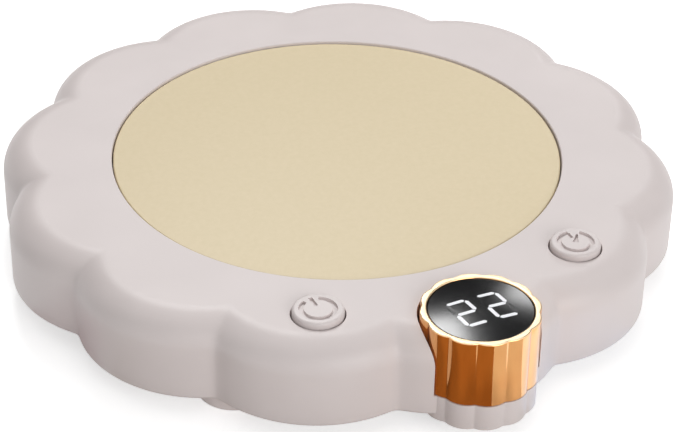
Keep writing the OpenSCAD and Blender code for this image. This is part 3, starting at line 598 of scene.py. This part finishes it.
# %% Feet
bm = bmesh.new()
foot_top = top_of("feet")
foot_pad = body_bottom - 0.05
foot_orbit = 54
for sx in (-1, 1):
    for sy in (-1, 1):
        centre = (sx * foot_orbit * math.sqrt(0.5), sy * foot_orbit * math.sqrt(0.5))
        rows = [(0, 0), (3.6, 0), (3.9, 0.25), (4.6, 0.25), (4.9, 0)]
        rows += arc(6.2, 0.8, 0.8, -90, 0, 6)
        rows += [(7, foot_pad - 0.2), (6.8, foot_pad), (5, foot_pad), (5, foot_top), (0, foot_top)]
        turn(bm, rows, centre)
feet = finish_mesh(bm, "soft_feet")
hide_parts("feet")
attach(feet, "housing")
print("feet faces:", len(feet.data.polygons))

# %% Bushing
bushing_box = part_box("cord_bushing")
inner_end, outer_end = bushing_box[0][1] / MM, bushing_box[1][1] / MM
lead_hole, neck, flange = 2.6, 3.8, 5
bm = bmesh.new()
rows = [(lead_hole, inner_end), (neck, inner_end), (neck, inner_end + 1), (flange, inner_end + 1),
        (flange, inner_end + 2.4), (neck, inner_end + 2.4), (neck, bushing_seat + 0.05),
        (flange, bushing_seat + 0.05)]
rows += arc(4.4, bushing_seat + 1.4, 0.6, 0, 90, 6) + [(neck, bushing_seat + 2.0)]
rows += arc(3.0, outer_end - 0.8, 0.8, 0, 90, 6) + arc(2.9, outer_end - 0.3, 0.3, 90, 180, 4)[1:]
turn(bm, rows, segments=72)
bmesh.ops.rotate(bm, verts=bm.verts, cent=(0, 0, 0), matrix=Matrix.Rotation(-math.pi / 2, 3, "X"))
bmesh.ops.translate(bm, verts=bm.verts, vec=(0, 0, entry_z * MM))
bushing = finish_mesh(bm, "bushing")
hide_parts("cord_bushing")
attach(bushing, "housing")
print("bushing from y", round(inner_end, 1), "to", round(outer_end, 1))

# %% [markdown]
# ## Finishes
# Every finish is a Principled shader. A number that is the same all over the surface is set on the
# shader itself, and only what varies comes from a texture. The parts' colours are written as they
# look on a screen, and `seen` turns them into the linear values that Blender computes with.

# %% Colours and shader helpers
def seen(r, g, b):
    def line(c):
        c /= 255
        return c / 12.92 if c <= 0.04045 else ((c + 0.055) / 1.055) ** 2.4
    return (line(r), line(g), line(b), 1)


def new_finish(name, **values):
    material = bpy.data.materials.new(name)
    material.use_nodes = True
    shader = material.node_tree.nodes["Principled BSDF"]
    for socket, value in values.items():
        shader.inputs[socket.replace("_", " ")].default_value = value
    return material, material.node_tree, shader


def object_noise(tree, scale, detail, roughness=0.5):
    place = tree.nodes.new("ShaderNodeTexCoord")
    texture = tree.nodes.new("ShaderNodeTexNoise")
    texture.inputs["Scale"].default_value = scale
    texture.inputs["Detail"].default_value = detail
    texture.inputs["Roughness"].default_value = roughness
    tree.links.new(place.outputs["Object"], texture.inputs["Vector"])
    return texture


def tone(tree, shader, texture, dark, light):
    ramp = tree.nodes.new("ShaderNodeValToRGB")
    ramp.color_ramp.elements[0].color = dark
    ramp.color_ramp.elements[1].color = light
    ramp.color_ramp.elements[0].position = 0.3
    ramp.color_ramp.elements[1].position = 0.7
    tree.links.new(texture.outputs["Fac"], ramp.inputs["Fac"])
    tree.links.new(ramp.outputs["Color"], shader.inputs["Base Color"])


def grain(tree, shader, texture, depth_mm):
    bump = tree.nodes.new("ShaderNodeBump")
    bump.inputs["Distance"].default_value = depth_mm * MM
    bump.inputs["Strength"].default_value = 1
    tree.links.new(texture.outputs["Fac"], bump.inputs["Height"])
    tree.links.new(bump.outputs["Normal"], shader.inputs["Normal"])


def uneven(tree, shader, texture, low, high):
    span = tree.nodes.new("ShaderNodeMapRange")
    span.inputs["To Min"].default_value = low
    span.inputs["To Max"].default_value = high
    tree.links.new(texture.outputs["Fac"], span.inputs["Value"])
    tree.links.new(span.outputs["Result"], shader.inputs["Roughness"])


# %% [markdown]
# Moulded plastic is nearly one colour, with a very fine spark-eroded grain from the mould and a
# satin sheen. The plate's coating is finer and a little rougher. The feet are dull silicone, paler
# than the housing: partly their own colour, partly painted light for the shade under the body.

# %% Plastic, coating and rubber
def moulded(name, dark, light, rough, depth=0.012):
    material, tree, shader = new_finish(name, Roughness=rough, IOR=1.5)
    tone(tree, shader, object_noise(tree, 60, 4), dark, light)
    grain(tree, shader, object_noise(tree, 3800, 2, 0.6), depth)
    uneven(tree, shader, object_noise(tree, 240, 3), rough - 0.04, rough + 0.04)
    return material


shell_plastic = moulded("shell_plastic", seen(215, 205, 203), seen(220, 210, 208), 0.46)
button_plastic = moulded("button_plastic", seen(217, 207, 205), seen(222, 213, 211), 0.42)
base_plastic = moulded("base_plastic", seen(206, 197, 194), seen(212, 203, 200), 0.58, 0.02)
# The feet's pale colour is partly painted light that lifts them in the shade under the body.
foot_silicone_painted_light = moulded("foot_silicone_painted_light", seen(236, 222, 219), seen(240, 228, 225), 0.75, 0.02)
bushing_plastic = moulded("bushing_plastic", seen(204, 195, 192), seen(210, 201, 198), 0.5)

plate_coating, tree, shader = new_finish("plate_coating", Roughness=0.5)
tone(tree, shader, object_noise(tree, 900, 4, 0.7), seen(219, 202, 165), seen(223, 206, 171))
grain(tree, shader, object_noise(tree, 5200, 2, 0.6), 0.01)

# %% Dial metal, window and numerals
dial_metal, tree, shader = new_finish("dial_metal", Metallic=1.0, Roughness=0.1)
tone(tree, shader, object_noise(tree, 180, 3), seen(244, 180, 118), seen(248, 188, 126))
uneven(tree, shader, object_noise(tree, 900, 3), 0.06, 0.12)

# The rim's rougher finish catches the lamps' highlight, and its paler colour is painted highlight.
rim_metal_painted_highlight, tree, shader = new_finish("rim_metal_painted_highlight", Metallic=1.0, Roughness=0.4)
tone(tree, shader, object_noise(tree, 300, 3), seen(226, 200, 164), seen(231, 206, 172))
uneven(tree, shader, object_noise(tree, 1200, 3), 0.36, 0.46)

window_black, tree, shader = new_finish("window_black", Roughness=0.18, IOR=1.5)
tone(tree, shader, object_noise(tree, 400, 2), seen(18, 18, 19), seen(22, 22, 23))
uneven(tree, shader, object_noise(tree, 700, 2), 0.16, 0.2)

lit_white, tree, shader = new_finish("lit_white", Roughness=0.35, Emission_Strength=0.22)
tone(tree, shader, object_noise(tree, 800, 2), seen(214, 214, 218), seen(222, 222, 226))
shader.inputs["Emission Color"].default_value = seen(245, 247, 250)

dark_guide, tree, shader = new_finish("dark_guide", Roughness=0.18, IOR=1.5)
tone(tree, shader, object_noise(tree, 400, 2), seen(20, 20, 21), seen(24, 24, 25))


def dress(piece, material):
    piece.data.materials.clear()
    piece.data.materials.append(material)


for piece, material in ((housing, shell_plastic), (plate, plate_coating), (power, button_plastic),
                        (timer, button_plastic), (dial, dial_metal), (window, window_black),
                        (lit, lit_white), (unlit, dark_guide), (feet, foot_silicone_painted_light),
                        (bushing, bushing_plastic)):
    dress(piece, material)
# The rim's top faces take the finish with the painted highlight.
dial.data.materials.append(rim_metal_painted_highlight)
for face in rim_highlight_faces:
    face.material_index = 1
print("dressed the new pieces")

# %% [markdown]
# The parts inside keep the model's own meshes, and only their slots change. Metal gets a rolled
# grain, which is noise stretched along one axis by a Mapping node. The boards get a green mask
# with faint copper tracks, from a Brick texture.

# %% Finishes for the parts inside
def rolled_metal(name, dark, light, rough):
    material, tree, shader = new_finish(name, Metallic=1.0, Roughness=rough)
    texture = object_noise(tree, 400, 3)
    mapping = tree.nodes.new("ShaderNodeMapping")
    mapping.inputs["Scale"].default_value = (0.06, 1, 1)
    place = texture.inputs["Vector"].links[0].from_socket
    tree.links.new(place, mapping.inputs["Vector"])
    tree.links.new(mapping.outputs["Vector"], texture.inputs["Vector"])
    tone(tree, shader, texture, dark, light)
    uneven(tree, shader, texture, rough - 0.06, rough + 0.08)
    return material


def circuit_board(name):
    material, tree, shader = new_finish(name, Roughness=0.35)
    place = tree.nodes.new("ShaderNodeTexCoord")
    bricks = tree.nodes.new("ShaderNodeTexBrick")
    bricks.inputs["Scale"].default_value = 220
    bricks.inputs["Mortar Size"].default_value = 0.03
    bricks.inputs["Color1"].default_value = seen(22, 96, 52)
    bricks.inputs["Color2"].default_value = seen(26, 106, 58)
    bricks.inputs["Mortar"].default_value = seen(58, 142, 84)
    tree.links.new(place.outputs["Object"], bricks.inputs["Vector"])
    tree.links.new(bricks.outputs["Color"], shader.inputs["Base Color"])
    grain(tree, shader, object_noise(tree, 1500, 2), 0.01)
    return material


steel = rolled_metal("zinc_steel", seen(178, 180, 184), seen(196, 198, 202), 0.34)
spreader_metal = rolled_metal("spreader_aluminium", seen(204, 206, 210), seen(218, 220, 224), 0.38)
track_foil = rolled_metal("track_foil", seen(170, 168, 164), seen(188, 186, 180), 0.3)
board_green = circuit_board("board_green")
felt_white = moulded("felt_white", seen(226, 223, 212), seen(240, 238, 230), 0.95, 0.2)
film_amber = moulded("film_amber", seen(184, 104, 30), seen(200, 122, 42), 0.25, 0.01)
black_plastic = moulded("black_plastic", seen(34, 34, 36), seen(42, 42, 44), 0.5, 0.02)
acetal_white = moulded("acetal_white", seen(226, 223, 214), seen(234, 231, 222), 0.45, 0.01)
seal_silicone = moulded("seal_silicone", seen(198, 196, 190), seen(208, 206, 200), 0.7, 0.02)
lead_white = moulded("lead_white", seen(216, 214, 206), seen(226, 224, 216), 0.6, 0.02)
lead_black = moulded("lead_black", seen(36, 36, 38), seen(46, 46, 48), 0.6, 0.02)
sleeve_blue = moulded("sleeve_blue", seen(34, 46, 96), seen(40, 54, 108), 0.35, 0.01)
tape_yellow = moulded("tape_yellow", seen(214, 184, 62), seen(226, 198, 78), 0.45, 0.02)
fuse_ceramic = moulded("fuse_ceramic", seen(212, 200, 176), seen(222, 211, 190), 0.3, 0.01)
ribbon_grey = moulded("ribbon_grey", seen(204, 204, 204), seen(216, 216, 216), 0.5, 0.01)

# %% Dress the parts inside
inside_finish = {
    "base_cover": base_plastic, "base_screws": steel, "plate_seal": seal_silicone,
    "heat_spreader": spreader_metal, "heating_film": film_amber, "heating_track": track_foil,
    "insulation_felt": felt_white, "heater_bracket": steel, "bracket_screws": steel,
    "temperature_sensor": black_plastic, "thermal_fuse": fuse_ceramic, "heater_leads": lead_white,
    "sensor_leads": lead_black, "control_board": board_green, "board_screws": steel,
    "control_chip": black_plastic, "power_triac": black_plastic, "smoothing_capacitor": sleeve_blue,
    "power_converter": tape_yellow, "power_switch": black_plastic, "timer_switch": black_plastic,
    "power_switch_plunger": acetal_white, "timer_switch_plunger": acetal_white,
    "encoder_base": black_plastic, "encoder_rotor": acetal_white, "display_carrier": black_plastic,
    "carrier_clip": steel, "display_board": board_green, "display_module": black_plastic,
    "display_ribbon": ribbon_grey,
}
for name, material in inside_finish.items():
    slots = nodes[name].material_slots
    if len(slots) == 0:
        nodes[name].data.materials.append(material)
    for entry in slots:
        entry.material = material
print("dressed the parts inside:", len(inside_finish))

# %% [markdown]
# ## Studio
# The floor is plain and pale. A glow is added where the camera, a mirror or glass looks at it, so
# that it shows white, and the object's soft shadow stays, because the lamps still light the paper.

# %% Floor
floor_glow = 0.55


def white_for_viewers(tree):
    rays = tree.nodes.new("ShaderNodeLightPath")
    total = rays.outputs["Is Camera Ray"]
    for kind in ("Is Glossy Ray", "Is Transmission Ray"):
        add = tree.nodes.new("ShaderNodeMath")
        add.operation = "ADD"
        add.use_clamp = True
        tree.links.new(total, add.inputs[0])
        tree.links.new(rays.outputs[kind], add.inputs[1])
        total = add.outputs[0]
    return total


floor_mesh = bpy.data.meshes.new("floor")
bm = bmesh.new()
bmesh.ops.create_grid(bm, x_segments=1, y_segments=1, size=6)
bm.to_mesh(floor_mesh)
bm.free()
floor = bpy.data.objects.new("floor", floor_mesh)
bpy.context.scene.collection.objects.link(floor)

paper, tree, shader = new_finish("floor_paper", Roughness=0.9)
shader.inputs["Base Color"].default_value = (0.82, 0.82, 0.82, 1)
shader.inputs["Specular IOR Level"].default_value = 0.0
glow = tree.nodes.new("ShaderNodeEmission")
lift = tree.nodes.new("ShaderNodeMath")
lift.operation = "MULTIPLY"
lift.inputs[1].default_value = floor_glow
tree.links.new(white_for_viewers(tree), lift.inputs[0])
tree.links.new(lift.outputs[0], glow.inputs["Strength"])
both = tree.nodes.new("ShaderNodeAddShader")
tree.links.new(shader.outputs[0], both.inputs[0])
tree.links.new(glow.outputs[0], both.inputs[1])
tree.links.new(both.outputs[0], tree.nodes["Material Output"].inputs["Surface"])
dress(floor, paper)
print("floor glow:", floor_glow)

# %% World
world = bpy.data.worlds.new("studio")
bpy.context.scene.world = world
world.use_nodes = True
sky = world.node_tree
soft_light = sky.nodes["Background"]
soft_light.inputs["Color"].default_value = (1, 1, 1, 1)
soft_light.inputs["Strength"].default_value = 0.36
white = sky.nodes.new("ShaderNodeBackground")
white.inputs["Color"].default_value = (1, 1, 1, 1)
choose = sky.nodes.new("ShaderNodeMixShader")
sky.links.new(white_for_viewers(sky), choose.inputs[0])
sky.links.new(soft_light.outputs[0], choose.inputs[1])
sky.links.new(white.outputs[0], choose.inputs[2])
sky.links.new(choose.outputs[0], sky.nodes["World Output"].inputs["Surface"])
print("world:", world.name)

# %% [markdown]
# Polished metal shows the room more than its own colour. The dial's upright walls, seen from above,
# mirror the floor close round them, so coloured cards lie there. A brown card darkens the front
# flutes, and a white one and a lit one brighten those at the right. A pink one lies to the left,
# where the flutes mostly mirror the housing. A tall dark card far behind keeps the display black.
# The cards show in mirrors only. Each is a sector round the dial, from one angle to another, in
# degrees to the right of the camera, and `ends` gives its radius and height at both edges.

# %% Cards
to_camera = Vector((backwards.x, backwards.y, 0)).normalized()
cool_light = (0.55, 0.72, 1, 1)


def card(name, start, end, colour, ends, lit=0.0):
    bm = bmesh.new()
    near, far = (bm.verts.new(to_camera * r * MM + Vector((0, 0, z * MM))) for r, z in ends)
    edge = bm.edges.new((near, far))
    bmesh.ops.rotate(bm, verts=[near, far], cent=(0, 0, 0),
                     matrix=Matrix.Rotation(math.radians(start), 3, "Z"))
    bmesh.ops.spin(bm, geom=[edge], cent=(0, 0, 0), axis=(0, 0, 1),
                   angle=math.radians(end - start), steps=24)
    bmesh.ops.translate(bm, verts=bm.verts, vec=Vector((0, dial_y, 0)) * MM)
    piece = finish_mesh(bm, name)
    piece.visible_camera = piece.visible_diffuse = False
    piece.visible_shadow = piece.visible_transmission = False
    sheet, tree, shader = new_finish(name, Roughness=0.9, Emission_Strength=lit)
    shader.inputs["Specular IOR Level"].default_value = 0.0
    shader.inputs["Emission Color"].default_value = cool_light
    tone(tree, shader, object_noise(tree, 90, 3), seen(*[c - 4 for c in colour]), seen(*colour))
    dress(piece, sheet)


on_floor = ((11.5, 0.3), (90, 0.3))
close_by = ((11.5, 0.3), (40, 0.3))
card("brown_card", -92, 19, (180, 132, 78), on_floor)
card("pink_card", -180, -94, (208, 122, 142), on_floor)
card("white_card", 19.5, 69, (244, 240, 234), on_floor)
card("lit_card", 70, 150, (214, 220, 230), close_by, 1.1)
card("dark_card", 122, 238, (22, 22, 23), ((1600, 60), (1600, 4200)))

# %% [markdown]
# Four soft lamps light the part. Each has a place, a point that it aims at, a width and a height in
# metres, and a power in watts. `around` gives a place by its angle to the right of the camera, its
# height angle and its distance.

# %% Lamps
def softbox(name, place, aim, width, height, watts):
    lamp = bpy.data.lights.new(name, "AREA")
    lamp.shape = "RECTANGLE"
    lamp.size = width
    lamp.size_y = height
    lamp.energy = watts
    holder = bpy.data.objects.new(name, lamp)
    bpy.context.scene.collection.objects.link(holder)
    towards = Vector(aim) - Vector(place)
    turned = towards.to_track_quat("-Z", "Y").to_matrix().to_4x4()
    turned.translation = Vector(place)
    holder.matrix_world = turned


def around(turned, height, far):
    flat = math.cos(math.radians(height))
    t = math.radians(turned)
    towards = (to_camera * math.cos(t) + level_right * math.sin(t)) * flat
    return (towards + Vector((0, 0, math.sin(math.radians(height))))) * far


softbox("overhead", (0, 0, 1.0), (0, 0, 0), 0.9, 0.9, 1.0)
softbox("back_left", around(-171, 51, 1.0), (0, -0.06, 0.02), 0.28, 0.28, 4.2)
softbox("back_right", around(163, 29, 1.0), (0, -0.06, 0.02), 0.18, 0.18, 0.9)
softbox("front", around(34, 21, 1.1), (0, 0, 0.01), 0.8, 0.45, 4.9)

# %% [markdown]
# The Standard view transform shows colours as they were written. The last cell records the size of
# the dressed object next to the model's, and hands the scene over.

# %% Finish
bpy.context.scene.view_settings.view_transform = "Standard"
